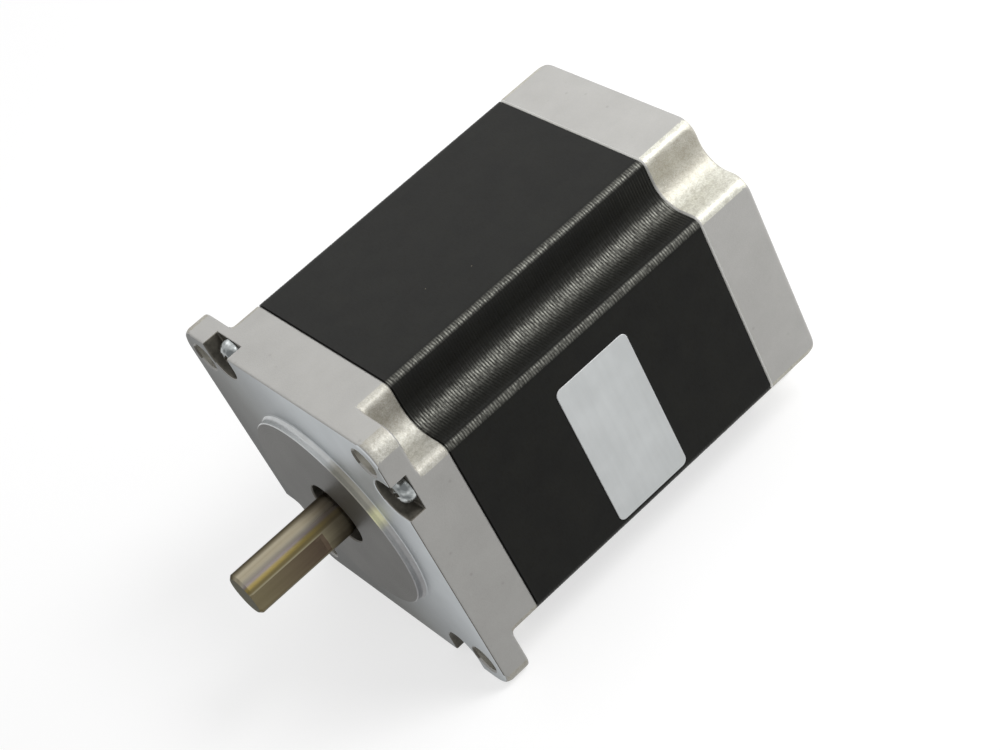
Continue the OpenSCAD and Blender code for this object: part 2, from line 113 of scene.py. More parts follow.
# Rims of the covers
FLANGE_RIM_R = 0.5
FRONT_CHAMFER = 0.22
REAR_CHAMFER = 0.3
REAR_CORNER_R = 2.2
REAR_RIM_R = 0.6

# Shaft
SHAFT_R = 4.0
SHAFT_REACH = -box_end("shaft", 0, 1)
SHAFT_END_Y = box_end("shaft", 1, 1)
CORE_R = box_end("shaft", 1, 0)
CORE_Y0 = box_end("front_inner_ring", 1, 1)
CORE_Y1 = box_end("rear_inner_ring", 0, 1)
FLAT_END_Y = -6.5
FLAT_X = 3.5
SHAFT_CHAMFER = 0.5
RELIEF_Y0 = -1.6
RELIEF_Y1 = -0.6
RELIEF_R = 3.8

# Spaces inside the covers
CAVITY_R = 25.5
HUB_R = 13.0
SEAT_R = 11.01
LIP_R = 8.5
LIP_Y = 0.8
FRONT_BEARING_Y = box_end("front_outer_ring", 0, 1)
FRONT_CAVITY_Y = 5.28
FRONT_HUB_Y = 8.6
REAR_HUB_Y = 65.8
REAR_CAVITY_Y = 71.72
SEAT_END_Y = 74.0

# Stator teeth and slots
POLES = 8
TOOTH_PITCH = 7.2
TOOTH_A = 3.6
POLE_TEETH = 6
BORE_R = 17.0
TOOTH_ROOT_R = 17.9
SHOE_EDGE_R = 18.3
SHOE_R = 19.2
SLOT_R = 24.8
NECK_HALF = 2.75

# Grommet
GROMMET_H = 5.5
GROMMET_W = 11.0
GROMMET_RIB = 0.7
GROMMET_RIB_T = 0.8
GROMMET_GAP = 0.05
LEAD_R = 0.8
LEAD_COUNT = 4

# Distance at which points of the stack merge, and slack of the tests that pick faces by their place
WELD = 0.0005
TOUCH = 0.02

# Sheets of the stack, and the step at its two ends
SHEETS = 109
SHEET_PITCH = (STATOR_Y1 - STATOR_Y0) / SHEETS
SHEET_GROOVE = 0.05
SHEET_SHIFT = 0.035
END_STEP = 0.3
END_STEP_L = 0.25

# Camera, at the place that was fitted to the photograph
BODY_MIDDLE_Y = 30.0
AZIMUTH = 69.102
ELEVATION = 38.214
ROLL = -28.465
AIM_RIGHT = 3.723
AIM_UP = 2.205
DISTANCE = 394.936
LENS = 86.164
SENSOR_W = 36.0

# Stage in metres and watts, with pairs of values for plain rays and for those that show white
FLOOR_SIZE = 1.6
FLOOR_GAP = 0.00005
FLOOR_TONE = (0.35, 0.4)
FLOOR_GLOW = (0.0, 0.66)
WORLD_LIGHT = (0.4, 1.0)
LAMPS = (
    ("key", (0.45, 0.42, 0.79), 0.9, 0.36, 3.2),
    ("window", (-0.5, 0.28, 0.82), 0.6, 0.6, 0.8),
    ("rear", (0.45, 0.8, 0.4), 0.3, 0.25, 0.4),
)

# Stops of (mm from the middle of a notch, strength of the painted highlight on the lacquer)
LACQUER_PAINTED_HIGHLIGHT = [
    (-10.3, 0.0), (-9.7, 0.75), (-9.0, 0.75), (-8.2, 0.0), (-2.4, 0.0), (-1.0, 0.12), (0.2, 0.65),
    (1.5, 1.0), (2.6, 0.85), (3.8, 0.3), (5.5, 0.05), (8.2, 0.0), (8.9, 0.75), (9.8, 0.75), (10.4, 0.0),
]

# Stops of (turn about the shaft axis, colour) of painted reflections and shade on the pilot's side and the
# shaft's round
PILOT_PAINTED_REFLECTION = [
    (0.0, (150, 150, 148)), (0.4, (158, 158, 160)), (0.553, (172, 172, 172)), (0.566, (226, 224, 186)),
    (0.578, (222, 220, 178)), (0.59, (168, 165, 154)), (0.655, (150, 147, 137)), (0.672, (216, 218, 218)),
    (0.85, (220, 223, 224)), (0.9, (170, 170, 168)), (1.0, (150, 150, 148)),
]
SHAFT_PAINTED_LIGHT = [
    (0.0, (228, 224, 212)), (0.579, (240, 236, 212)), (0.587, (255, 252, 230)), (0.595, (200, 190, 150)),
    (0.608, (204, 192, 146)), (0.622, (226, 208, 138)), (0.636, (212, 198, 152)), (0.65, (204, 198, 214)),
    (0.666, (248, 246, 252)), (0.68, (255, 255, 252)), (0.69, (252, 249, 240)), (0.71, (240, 236, 222)),
    (0.75, (244, 240, 228)), (0.78, (218, 213, 198)), (0.8, (162, 157, 143)), (0.82, (124, 120, 108)),
    (0.87, (140, 136, 123)), (1.0, (228, 224, 212)),
]


# Sections

def arc(cx, cz, r, a0, a1, n):
    """Points of an arc from a0 to a1 degrees, both ends included."""
    out = []
    for i in range(n + 1):
        a = math.radians(a0 + (a1 - a0) * i / n)
        out.append((cx + r * math.cos(a), cz + r * math.sin(a)))
    return out


def quarter_turns(pts):
    """The quadrant's points and their three copies, each turned on by 90 degrees."""
    out = list(pts)
    for _ in range(3):
        pts = [(-z, x) for x, z in pts]
        out += pts
    return out


def rounded_square(half, r, n=10):
    c = half - r
    return quarter_turns(arc(c, c, r, 0, 90, n))


def notched_quadrant(inset=0.0, outset=0.0, ease=0.0):
    """Quadrant of the notched outline and each point's share of the surface relief, zero on flats.

    inset draws the whole outline in, outset moves only the notch walls out, and ease adds to the
    radius of the rounded edges."""
    half = HALF - inset
    wall = NOTCH_WALL - inset + outset
    e = EDGE_R - inset + ease
    r = NOTCH_R + inset - outset
    c = NOTCH_WALL + NOTCH_R
    flat_end = wall - e
    far, near, lead = 3.0, 0.7, 0.8
    pts = [(half, 0.0), (half, flat_end - far), (half, flat_end - near)]
    share = [0.0, 0.0, 0.0]
    pts += arc(half - e, flat_end, e, 0, 90, 8)
    share += [0.25 + 0.75 * i / 8 for i in range(9)]
    pts += [(half - e - lead, wall)]
    share += [1.0]
    pts += arc(c, c, r, 270, 180, 14)
    share += [1.0] * 15
    pts += [(wall, half - e - lead)]
    share += [1.0]
    pts += arc(flat_end, half - e, e, 0, 90, 8)
    share += [1.0 - 0.75 * i / 8 for i in range(9)]
    pts += [(flat_end - near, half), (flat_end - far, half)]
    share += [0.0, 0.0]
    return pts, share


def notched(inset=0.0, outset=0.0, ease=0.0):
    return quarter_turns(notched_quadrant(inset, outset, ease)[0])


def circle_pts(r, n, cx=0.0, cz=0.0):
    return arc(cx, cz, r, 0, 360 * (n - 1) / n, n - 1)


def turned_to(pts, k):
    for _ in range(k):
        pts = [(-z, x) for x, z in pts]
    return pts


# Meshes

def new_object(name, verts, faces):
    mesh = bpy.data.meshes.new(name)
    mesh.from_pydata(verts, [], faces)
    mesh.update()
    obj = bpy.data.objects.new(name, mesh)
    bpy.context.scene.collection.objects.link(obj)
    return obj


def with_bmesh(obj, work):
    bm = bmesh.new()
    bm.from_mesh(obj.data)
    work(bm)
    bm.to_mesh(obj.data)
    bm.free()
    return obj


def outward(obj):
    return with_bmesh(obj, lambda bm: bmesh.ops.recalc_face_normals(bm, faces=bm.faces))


def loft(name, rings, caps=True):
    """Joins rings of equal length into a skin, with a face over each end."""
    n = len(rings[0])
    verts = [v for ring in rings for v in ring]
    faces = []
    for k in range(len(rings) - 1):
        for i in range(n):
            j = (i + 1) % n
            faces.append((k * n + i, k * n + j, (k + 1) * n + j, (k + 1) * n + i))
    if caps:
        last = (len(rings) - 1) * n
        faces.append(tuple(range(n))[::-1])
        faces.append(tuple(range(last, last + n)))
    return outward(new_object(name, verts, faces))


def along_y(section, y):
    return [(x, y, z) for x, z in section]


def revolve(name, profile, steps=96, cx=0.0, cz=0.0):
    """Turns a profile of (radius, y) into a solid about an axis along Y."""
    return loft(name, [along_y(circle_pts(r, steps, cx, cz), y) for r, y in profile])


def joined(objs):
    """Moves the meshes of several objects into the first."""
    base = objs[0]
    bm = bmesh.new()
    for o in objs:
        bm.from_mesh(o.data)
    bm.to_mesh(base.data)
    bm.free()
    for o in objs[1:]:
        bpy.data.objects.remove(o)
    return base


def combine(target, tool, operation):
    """Applies a boolean of target and tool to target, and removes tool."""
    mod = target.modifiers.new("combine", "BOOLEAN")
    mod.operation = operation
    mod.solver = "EXACT"
    mod.object = tool
    graph = bpy.context.evaluated_depsgraph_get()
    mesh = bpy.data.meshes.new_from_object(target.evaluated_get(graph))
    target.modifiers.clear()
    target.data = mesh
    bpy.data.objects.remove(tool)


def place(obj, body, replaced, names, choose=None, sharp=32):
    """Scales a piece to metres, shades it, and ties it to its body, node and materials.

    choose names the material of a face, from its centre in mm and its normal."""
    obj.data.transform(Matrix.Scale(MM, 4))
    obj.data.polygons.foreach_set("use_smooth", [True] * len(obj.data.polygons))
    obj.data.set_sharp_from_angle(angle=math.radians(sharp))
    obj.data.materials.clear()
    for name in names:
        obj.data.materials.append(MATERIALS[name])
    if choose:
        for p in obj.data.polygons:
            p.material_index = names.index(choose(p.center / MM, p.normal))
    even = obj.modifiers.new("even_normals", "WEIGHTED_NORMAL")
    even.keep_sharp = True
    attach(obj, body)
    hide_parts(replaced)


# Materials

class Shader:
    """Builds one material's node tree around a Principled BSDF."""

    def __init__(self, name, **values):
        self.mat = bpy.data.materials.new(name)
        self.mat.use_nodes = True
        self.tree = self.mat.node_tree
        self.bsdf = self.tree.nodes["Principled BSDF"]
        for key, value in values.items():
            self.bsdf.inputs[key.replace("_", " ")].default_value = value
        self.coords = self.node("ShaderNodeTexCoord").outputs["Object"]

    def node(self, kind, settings=None, **inputs):
        made = self.tree.nodes.new(kind)
        for key, value in (settings or {}).items():
            setattr(made, key, value)
        for key, value in inputs.items():
            self.put(made, key.replace("_", " "), value)
        return made

    def put(self, node, key, value):
        socket = node.inputs[key]
        if isinstance(value, bpy.types.NodeSocket):
            self.tree.links.new(value, socket)
        else:
            socket.default_value = value

    def stretched(self, x, y, z):
        """Object coordinates with each axis scaled."""
        return self.node("ShaderNodeMapping", Vector=self.coords, Scale=(x, y, z)).outputs["Vector"]

    def noise(self, scale, detail=3.0, rough=0.55, vector=None):
        made = self.node("ShaderNodeTexNoise", Vector=vector or self.coords, Scale=scale, Detail=detail,
                         Roughness=rough)
        return made.outputs["Fac"]

    def scattered(self, scale):
        """Distance from the nearest of many scattered points."""
        made = self.node("ShaderNodeTexVoronoi", {"feature": "F1"}, Vector=self.coords, Scale=scale)
        return made.outputs["Distance"]

    def ramp(self, value, stops):
        made = self.node("ShaderNodeValToRGB", Fac=value)
        band = made.color_ramp
        while len(band.elements) < len(stops):
            band.elements.new(0.5)
        for element, (at, colour) in zip(band.elements, stops):
            element.position = at
            element.color = colour if len(colour) == 4 else (*colour, 1.0)
        return made.outputs["Color"]

    def tones(self, value, stops):
        """Ramp by stops of (place, sRGB colour from 0 to 255)."""
        return self.ramp(value, [(at, rgb(*tone)) for at, tone in stops])

    def span(self, value, low, high, to_low, to_high):
        made = self.node("ShaderNodeMapRange", Value=value)
        ends = {"From Min": low, "From Max": high, "To Min": to_low, "To Max": to_high}
        for key, number in ends.items():
            made.inputs[key].default_value = number
        return made.outputs["Result"]

    def spread(self, noise, low, high):
        """Values from low to high over the middle of a noise."""
        return self.span(noise, 0.3, 0.7, low, high)

    def maths(self, operation, a, b=0.0):
        made = self.node("ShaderNodeMath", {"operation": operation})
        self.put(made, 0, a)
        self.put(made, 1, b)
        return made.outputs[0]

    def mix(self, share, a, b, blend="MIX"):
        made = self.node("ShaderNodeMix", {"data_type": "RGBA", "blend_type": blend})
        self.put(made, 0, share)
        self.put(made, 6, a)
        self.put(made, 7, b)
        return made.outputs[2]

    def bump(self, height, distance, strength=1.0, normal=None):
        made = self.node("ShaderNodeBump", Height=height, Distance=distance, Strength=strength)
        if normal:
            self.put(made, "Normal", normal)
        return made.outputs["Normal"]

    def xyz(self):
        """Object coordinates in metres, one socket for each axis."""
        return self.node("ShaderNodeSeparateXYZ", Vector=self.coords).outputs

    def radius(self):
        """Distance from the shaft axis, in metres."""
        at = self.xyz()
        squares = [self.maths("MULTIPLY", at[axis], at[axis]) for axis in "XZ"]
        return self.maths("SQRT", self.maths("ADD", *squares))

    def turning(self, radius, fineness):
        """Noise in rings about the shaft axis."""
        rings = self.node("ShaderNodeCombineXYZ", X=self.maths("MULTIPLY", radius, fineness))
        return self.noise(1.0, 3, 0.7, rings.outputs[0])

    def across_corner(self, stops):
        """Curve across the nearest notch, by stops of (mm from its middle, height).

        Places below zero lie on the side of the top or bottom face. It is lower on all but the
        top notch on the label side."""
        at = self.xyz()
        margin, faint = 4.0, 0.3
        reach = HALF - NOTCH_WALL + margin
        off = self.maths("SUBTRACT", self.maths("ABSOLUTE", at["X"]), self.maths("ABSOLUTE", at["Z"]))
        value = self.span(off, -reach * MM, reach * MM, 0.0, 1.0)
        ramp = self.ramp(value, [(0.5 + off_mm / reach / 2, (h, h, h)) for off_mm, h in stops])
        curve = self.node("ShaderNodeRGBToBW", Color=ramp).outputs[0]
        # Painted light: the side share keeps painted highlights faint on all notches but the one that faces
        # the key lamp.
        side = self.maths("ADD", at["X"], at["Z"])
        return self.maths("MULTIPLY", curve, self.span(side, 12 * MM, 30 * MM, faint, 1.0))

    def sheet_tops(self):
        """1 on the middle of each sheet's edge, down to 0.3 between two sheets."""
        start = self.maths("SUBTRACT", self.xyz()["Y"], STATOR_Y0 * MM)
        count = self.maths("DIVIDE", start, SHEET_PITCH * MM)
        off = self.maths("ABSOLUTE", self.maths("SUBTRACT", self.maths("FRACT", count), 0.5))
        return self.span(off, 0.12, 0.45, 1.0, 0.3)

    def turns(self):
        """Angle about the shaft axis in turns, from 0 to 1, with +X at the middle."""
        at = self.xyz()
        angle = self.maths("DIVIDE", self.maths("ARCTAN2", at["Z"], at["X"]), 2 * math.pi)
        return self.span(angle, -0.5, 0.5, 0.0, 1.0)

    def set(self, **values):
        for key, value in values.items():
            self.put(self.bsdf, key.replace("_", " "), value)
        return self.mat


def linear(c):
    """Linear value of an sRGB one from 0 to 255."""
    return c / 255 / 12.92 if c <= 10 else ((c / 255 + 0.055) / 1.055) ** 2.4


def rgb(r, g, b):
    return (linear(r), linear(g), linear(b), 1.0)


def cast_metal(name, low, high):
    s = Shader(name, Metallic=0.4)
    mottle = s.noise(170, 5, 0.6)
    grain = s.noise(5200, 2, 0.6)
    pits = s.noise(2600, 3, 0.65)
    base = s.tones(mottle, [(0.3, low), (0.7, high)])
    speckle = s.tones(grain, [(0.36, (240, 239, 237)), (0.64, (255, 255, 255))])
    colour = s.mix(0.5, base, speckle, "MULTIPLY")
    nick = s.span(s.scattered(230.0), 0.03, 0.09, 1.0, 0.0)
    colour = s.mix(s.maths("MULTIPLY", nick, 0.3), colour, rgb(122, 120, 114))
    rough = s.spread(grain, 0.4, 0.54)
    fine = s.bump(grain, 0.00003, 0.5)
    return s.set(Base_Color=colour, Roughness=rough, Normal=s.bump(pits, 0.00003, 0.4, fine))


def cast_skin(name, tones, highlight_tone, edge, gloss, shift):
    """Skin left by the die on notches and rounded edges: uneven, a little warm, with painted highlights.

    edge is the painted highlight on the outer edges; shift moves the one in a notch's middle, in mm."""
    s = Shader(name, Metallic=0.6)
    cloud = s.noise(420, 4, 0.6)
    dents = s.noise(1300, 3, 0.6)
    grain = s.noise(4200, 3, 0.65)
    base = s.tones(cloud, zip((0.3, 0.55, 0.7), tones))
    # Painted highlights across each notch and its rounded edges, broken up by the dents below.
    painted_highlight = s.across_corner([(-11.2, 0.1), (-10.2, edge), (-8.8, edge), (-7.8, 0.05), (shift - 4.4, 0.1),
                            (shift - 2.4, 0.35), (shift - 0.8, 0.75), (shift + 0.8, 1.0), (shift + 2.0, 0.9),
                            (shift + 3.4, 0.82), (7.8, 0.72), (9.2, edge), (10.8, edge), (11.6, 0.1)])
    broken = s.maths("MULTIPLY", painted_highlight, s.span(dents, 0.35, 0.6, 0.55, 1.0))
    base = s.mix(broken, base, rgb(*highlight_tone))
    speckle = s.tones(grain, [(0.36, (222, 220, 213)), (0.62, (255, 255, 255))])
    colour = s.mix(0.9, base, speckle, "MULTIPLY")
    rough = s.spread(grain, gloss, gloss + 0.18)
    fine = s.bump(grain, 0.00004, 0.7)
    return s.set(Base_Color=colour, Roughness=rough, Normal=s.bump(dents, 0.00014, 0.6, fine))


def machined_metal():
    """Turned face with fine rings about the axis; painted reflection: lighter to +X and up, darker on the
    pilot.
    """
    s = Shader("machined_metal", Metallic=0.8, Specular_Tint=(0.62, 0.63, 0.64, 1.0))
    r = s.radius()
    turned = s.turning(r, 9000.0)
    cloud = s.noise(120, 3, 0.5)
    grain = s.noise(4200, 2, 0.5)
    at = s.xyz()
    # Painted reflection: the flange face grows lighter towards +X and the top.
    slope = s.maths("ADD", s.maths("MULTIPLY", at["X"], 2.0), at["Z"])
    painted_sheen = s.tones(s.span(slope, -45 * MM, 60 * MM, 0.0, 1.0),
                    [(0.0, (106, 105, 102)), (0.21, (132, 132, 129)), (0.54, (178, 181, 182)),
                     (0.81, (212, 216, 218)), (1.0, (216, 220, 222))])
    haze = s.tones(cloud, [(0.3, (244, 244, 244)), (0.7, (255, 255, 255))])
    flange = s.mix(1.0, painted_sheen, haze, "MULTIPLY")
    # Painted reflection: the pilot is drawn darker than the flange face.
    pilot = s.tones(cloud, [(0.3, (105, 103, 99)), (0.7, (115, 113, 109))])
    edge = PILOT_R * MM
    colour = s.mix(s.span(r, edge - 0.0002, edge - 0.0001, 0.0, 1.0), pilot, flange)
    rough = s.spread(turned, 0.34, 0.48)
    fine = s.bump(turned, 0.00001, 0.5)
    return s.set(Base_Color=colour, Roughness=rough, Normal=s.bump(grain, 0.00002, 0.3, fine))


def turned_wall():
    """Turned side of the pilot, with painted reflections in bands by the angle about the shaft axis."""
    s = Shader("turned_wall", Metallic=0.45)
    grain = s.noise(4200, 2, 0.5)
    # Painted reflections: light, yellow and grey bands by the angle about the shaft axis.
    painted_reflection = s.tones(s.turns(), PILOT_PAINTED_REFLECTION)
    haze = s.tones(s.noise(500, 3), [(0.35, (215, 215, 213)), (0.65, (255, 255, 255))])
    colour = s.mix(0.35, painted_reflection, haze, "MULTIPLY")
    return s.set(Base_Color=colour, Roughness=s.spread(grain, 0.28, 0.4),
                 Normal=s.bump(grain, 0.00002, 0.4))


def drilled_metal():
    s = Shader("drilled_metal", Metallic=0.5)
    rings = s.noise(1.0, 3, 0.6, s.stretched(400, 6000, 400))
    colour = s.tones(s.noise(600, 3), [(0.3, (166, 163, 154)), (0.7, (188, 186, 178))])
    return s.set(Base_Color=colour, Roughness=s.spread(rings, 0.34, 0.5),
                 Normal=s.bump(rings, 0.00002, 0.5))


def recess_metal():
    """Cast metal inside pockets and holes, painted dark as the shade in them."""
    s = Shader("recess_metal", Metallic=0.4, Roughness=0.5)
    cloud = s.noise(700, 3, 0.6)
    grain = s.noise(5200, 2, 0.6)
    # Painted shade: dark tones for the insides of recesses.
    colour = s.tones(cloud, [(0.3, (76, 73, 65)), (0.7, (108, 104, 95))])
    return s.set(Base_Color=colour, Roughness=s.spread(cloud, 0.4, 0.56),
                 Normal=s.bump(grain, 0.00004, 0.5))


def lacquer(name, with_painted_highlights):
    """Black lacquer on the sheets, with painted highlights in beads along the sheets on the rounded edges
    and notch.
    """
    s = Shader(name, Specular_IOR_Level=0.07)
    sheet = s.noise(1.0, 2, 0.6, s.stretched(1300, 4200, 1300))
    cloud = s.noise(180, 3, 0.6)
    grain = s.noise(6000, 2, 0.5)
    base = s.tones(cloud, [(0.3, (29, 29, 28)), (0.7, (34, 34, 32))])
    tint = s.tones(sheet, [(0.35, (225, 222, 205)), (0.55, (255, 255, 255)), (0.75, (215, 235, 215))])
    colour = s.mix(0.6, base, tint, "MULTIPLY")
    speck = s.maths("LESS_THAN", s.scattered(95.0), 0.014)
    colour = s.mix(speck, colour, rgb(110, 103, 90))
    rough = s.spread(grain, 0.3, 0.4)
    if with_painted_highlights:
        # Painted highlights: bright steel beads on each sheet's edge, on the rounded edges and in the middle
        # of each notch.
        tops = s.maths("MULTIPLY", s.sheet_tops(), s.span(sheet, 0.36, 0.62, 0.3, 1.0))
        painted_highlight = s.maths("MULTIPLY", s.across_corner(LACQUER_PAINTED_HIGHLIGHT), tops)
        colour = s.mix(painted_highlight, colour, rgb(134, 134, 127))
        rough = s.maths("ADD", rough, s.maths("MULTIPLY", painted_highlight, 0.14))
        s.put(s.bsdf, "Metallic", painted_highlight)
    return s.set(Base_Color=colour, Roughness=rough, Normal=s.bump(grain, 0.00001, 0.3))


def ground_steel():
    """Ground round of the shaft: fine rings, long streaks, and painted highlights and shade along it by
    angle.
    """
    s = Shader("ground_steel", Metallic=1.0, Specular_Tint=(0.5, 0.48, 0.45, 1.0))
    streaks = s.noise(1.0, 3, 0.5, s.stretched(900, 16, 900))
    rings = s.noise(1.0, 3, 0.6, s.stretched(60, 5000, 60))
    steel = s.tones(streaks, [(0.3, (124, 119, 108)), (0.5, (136, 131, 120)), (0.72, (148, 144, 133))])
    # Painted highlights, reflections and shade in bands along the shaft, by the angle about its axis.
    colour = s.mix(1.0, steel, s.tones(s.turns(), SHAFT_PAINTED_LIGHT), "MULTIPLY")
    # Painted shade: darker towards the root of the shaft at the pilot.
    root = s.span(s.xyz()["Y"], -8.0 * MM, -3.5 * MM, 0.0, 0.7)
    colour = s.mix(root, colour, rgb(78, 70, 60))
    rough = s.spread(streaks, 0.26, 0.36)
    return s.set(Base_Color=colour, Roughness=rough, Normal=s.bump(rings, 0.000004, 0.4))


def milled_flat():
    """Flat of the shaft, more olive towards the tip."""
    s = Shader("milled_flat", Metallic=1.0, Specular_Tint=(0.4, 0.38, 0.35, 1.0))
    streaks = s.noise(1.0, 3, 0.5, s.stretched(600, 40, 600))
    root = s.tones(streaks, [(0.3, (80, 68, 58)), (0.7, (96, 84, 70))])
    tip = s.tones(streaks, [(0.3, (100, 92, 70)), (0.7, (114, 106, 84))])
    colour = s.mix(s.span(s.xyz()["Y"], -20 * MM, -8 * MM, 1.0, 0.0), root, tip)
    return s.set(Base_Color=colour, Roughness=s.spread(streaks, 0.28, 0.4),
                 Normal=s.bump(streaks, 0.000004, 0.4))


def sawn_end():
    """End face of the shaft, turned to a dull grey."""
    s = Shader("sawn_end", Metallic=1.0, Specular_Tint=(0.3, 0.3, 0.28, 1.0))
    turned = s.turning(s.radius(), 7000.0)
    return s.set(Base_Color=s.tones(turned, [(0.3, (112, 110, 101)), (0.7, (130, 128, 119))]),
                 Roughness=s.spread(turned, 0.34, 0.46), Normal=s.bump(turned, 0.00001, 0.4))


def zinc_plate():
    s = Shader("zinc_plate", Metallic=0.8)
    # The cloud tones are painted reflections: dark and light patches on the screw heads.
    cloud = s.noise(620, 2, 0.4)
    grain = s.noise(6000, 2, 0.5)
    colour = s.tones(cloud, [(0.4, (106, 110, 111)), (0.5, (150, 154, 154)), (0.6, (196, 200, 200))])
    return s.set(Base_Color=colour, Roughness=s.spread(cloud, 0.2, 0.3),
                 Normal=s.bump(grain, 0.000002, 0.3))


def label_foil():
    s = Shader("label_foil", Metallic=0.35, Roughness=0.42)
    fibres = s.noise(1.0, 3, 0.6, s.stretched(900, 900, 60))
    cloud = s.noise(150, 3, 0.5)
    base = s.tones(cloud, [(0.3, (200, 203, 203)), (0.7, (210, 213, 213))])
    streaks = s.tones(fibres, [(0.3, (235, 235, 235)), (0.7, (255, 255, 255))])
    colour = s.mix(0.35, base, streaks, "MULTIPLY")
    return s.set(Base_Color=colour, Roughness=s.spread(fibres, 0.36, 0.5),
                 Normal=s.bump(s.noise(2600, 2), 0.00001, 0.3))


def label_edge():
    s = Shader("label_edge", Roughness=0.5)
    return s.set(Base_Color=s.tones(s.noise(3000), [(0.3, (212, 213, 213)), (0.7, (232, 233, 233))]))


def simple(name, dark, light, scale, metallic=0.0, rough=(0.4, 0.6), bump=0.00002, stretch=None):
    """Material for an inner part: two tones, uneven gloss and fine relief at one scale."""
    s = Shader(name, Metallic=metallic)
    vector = s.stretched(*stretch) if stretch else None
    wide = s.noise(scale / 6, 3, 0.5)
    fine = s.noise(1.0 if stretch else scale, 3, 0.6, vector)
    both = s.maths("ADD", s.maths("MULTIPLY", wide, 0.5), s.maths("MULTIPLY", fine, 0.5))
    return s.set(Base_Color=s.tones(both, [(0.35, dark), (0.65, light)]),
                 Roughness=s.spread(fine, *rough), Normal=s.bump(fine, bump, 0.5))


def copper_winding():
    """Enamelled wire: ridges of the turns across each coil, from its object coordinates."""
    s = Shader("copper_winding", Metallic=0.85)
    wires = s.node("ShaderNodeTexWave", {"wave_type": "RINGS", "rings_direction": "Y"},
                   Vector=s.coords, Scale=620.0, Distortion=0.6, Detail=2.0)
    ridges = wires.outputs["Fac"]
    fine = s.noise(900, 3, 0.6)
    base = s.tones(fine, [(0.3, (150, 74, 38)), (0.7, (198, 112, 62))])
    shade = s.tones(ridges, [(0.1, (120, 90, 80)), (0.5, (255, 255, 255))])
    colour = s.mix(0.7, base, shade, "MULTIPLY")
    return s.set(Base_Color=colour, Roughness=s.spread(fine, 0.22, 0.38),
                 Normal=s.bump(ridges, 0.0001, 0.7))


# Pieces

def quarter_cutters(make):
    """One cutter for each corner, from make(turn), as one object."""
    return joined([make(k) for k in range(4)])


def screw_at(k):
    """Place of the axis of a screw, as (x, z)."""
    return turned_to([(SCREW_X, SCREW_Z)], k)[0]


def pocket_cutter(k):
    cx = SCREW_X + POCKET_SHIFT

    def outline(d):
        end = HALF + 2
        side = POCKET_R + d
        pts = arc(cx, SCREW_Z, side, 90, 270, 24) + [(end, SCREW_Z - side), (end, SCREW_Z + side)]
        return turned_to(pts, k)

    rim_r, floor_r = 0.42, 0.35
    stops = [(-1.0, rim_r + 1.0)]
    for i in range(6):
        a = math.radians(18 * i)
        stops.append((rim_r * (1 - math.cos(a)), rim_r * (1 - math.sin(a))))
    for i in range(5):
        a = math.radians(90 * i / 4)
        stops.append((POCKET_DEPTH - floor_r * (1 - math.sin(a)), floor_r * (math.cos(a) - 1)))
    return loft(f"pocket_{k}", [along_y(outline(d), y) for y, d in stops])


def mouth_cutter(k):
    """Widens a pocket where it opens through the side face."""
    front = -1.5
    rings = []
    for x, d in ((HALF - 0.1, 0.0), (HALF + 1.0, 1.1)):
        ring = []
        for y, side in ((front, -1), (front, 1), (POCKET_DEPTH + d, 1), (POCKET_DEPTH + d, -1)):
            px, pz = turned_to([(x, SCREW_Z + side * (POCKET_R + d))], k)[0]
            ring.append((px, y, pz))
        rings.append(ring)
    return loft(f"mouth_{k}", rings)


def hole_cutter(k):
    """Mounting hole with a chamfer in front and behind."""
    x, z = turned_to([(HOLE_AT, HOLE_AT)], k)[0]
    front, back = HOLE_CHAMFER, 0.25
    profile = [(HOLE_R + front + 1, -1), (HOLE_R, front), (HOLE_R, FLANGE_T - back),
               (HOLE_R + back + 1, FLANGE_T + 1)]
    return revolve(f"hole_{k}", profile, 48, x, z)


def screw_hole_cutter(r, y0, y1, flare=0.0):
    """Maker of the cutters of four screw holes, widened by flare at y1."""
    profile = [(r, y0), (r, y1)]
    if flare:
        profile = [(r, y0), (r, y1 - flare), (r + flare + 1, y1 + 1)]
    return lambda k: revolve(f"screw_hole_{k}", profile, 32, *screw_at(k))


def rounding(y_edge, direction, r, steps=4):
    """Stops of a rounded rim of radius r that ends at y_edge, going along direction."""
    out = []
    for i in range(steps + 1):
        a = math.radians(90 * i / steps)
        out.append((y_edge - direction * r * (1 - math.sin(a)), r * (1 - math.cos(a))))
    return out


def flange_solid():
    """Flange, with its rim eased in front and rounded behind."""
    rim = [(0.0, 0.32, 1.7), (0.05, 0.16, 1.35), (0.16, 0.05, 1.0), (0.32, 0.0, 0.75), (0.6, 0.0, 0.4),
           (0.9, 0.0, 0.15), (1.2, 0.0, 0.0)]
    rim += [(y, d, -d) for y, d in rounding(FLANGE_T, 1, FLANGE_RIM_R)]
    rings = [along_y(rounded_square(HALF - d, FLANGE_CORNER_R + more), y) for y, d, more in rim]
    return loft("front_cover_piece", rings)


def front_body():
    """Notched body behind the flange, with a fillet at its foot."""
    fillet = 0.8
    stops = [(2.0, 0.0, fillet), (FLANGE_T, 0.0, fillet)]
    for i in range(1, 7):
        a = math.radians(15 * i)
        stops.append((FLANGE_T + fillet - fillet * math.cos(a), 0.0, fillet - fillet * math.sin(a)))
    stops += [(FRONT_L - FRONT_CHAMFER, 0.0, 0.0), (FRONT_L, FRONT_CHAMFER, 0.0)]
    return loft("body", [along_y(notched(inset, outset), y) for y, inset, outset in stops])


